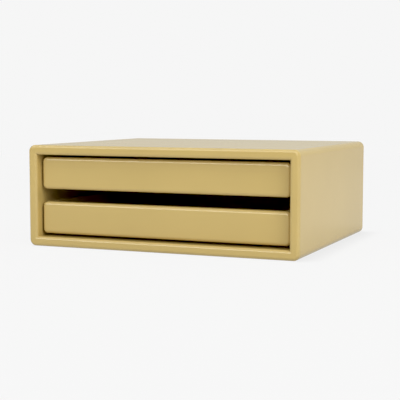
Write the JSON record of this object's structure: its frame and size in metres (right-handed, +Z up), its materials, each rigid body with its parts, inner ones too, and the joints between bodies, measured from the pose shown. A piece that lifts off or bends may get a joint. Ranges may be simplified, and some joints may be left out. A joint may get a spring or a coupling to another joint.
{
  "type": "desk module with letter trays",
  "caption": "Low lacquered desk box, open at the front, with stacked pull-out trays for letters and envelopes and a finger slot between the tray fronts.",
  "frame": {"origin": "middle of the flat underside that rests on the desk", "axes": "+X to the right of someone in front of the module, -Y out of the open front, +Z up"},
  "size_m": [0.354, 0.3, 0.1265],
  "materials": {
    "lacquered_board": "satin cream-yellow lacquer on fibreboard",
    "beech_strip": "bare beech, sanded",
    "screw_steel": "zinc-plated steel"
  },
  "bodies": {
    "case": {"top_panel": "lacquered_board", "bottom_panel": "lacquered_board", "left_side_panel": "lacquered_board", "right_side_panel": "lacquered_board", "back_panel": "lacquered_board", "top_left_spline": "beech_strip", "top_right_spline": "beech_strip", "bottom_left_spline": "beech_strip", "bottom_right_spline": "beech_strip", "lower_left_runner": "beech_strip", "lower_right_runner": "beech_strip", "upper_left_runner": "beech_strip", "upper_right_runner": "beech_strip", "runner_screws": "screw_steel"},
    "lower_tray": {"lower_tray_front": "lacquered_board", "lower_tray_left_side": "lacquered_board", "lower_tray_right_side": "lacquered_board", "lower_tray_back": "lacquered_board", "lower_tray_bottom": "lacquered_board", "lower_tray_front_dowels": "beech_strip", "lower_tray_back_dowels": "beech_strip"},
    "upper_tray": {"upper_tray_front": "lacquered_board", "upper_tray_left_side": "lacquered_board", "upper_tray_right_side": "lacquered_board", "upper_tray_back": "lacquered_board", "upper_tray_bottom": "lacquered_board", "upper_tray_front_dowels": "beech_strip", "upper_tray_back_dowels": "beech_strip"}
  },
  "joints": [
    {"name": "lower_tray_slide", "type": "slide", "parent": "case", "child": "lower_tray", "axis": [0, -1, 0], "range_m": [0, 0.2]},
    {"name": "upper_tray_slide", "type": "slide", "parent": "case", "child": "upper_tray", "axis": [0, -1, 0], "range_m": [0, 0.2]}
  ]
}
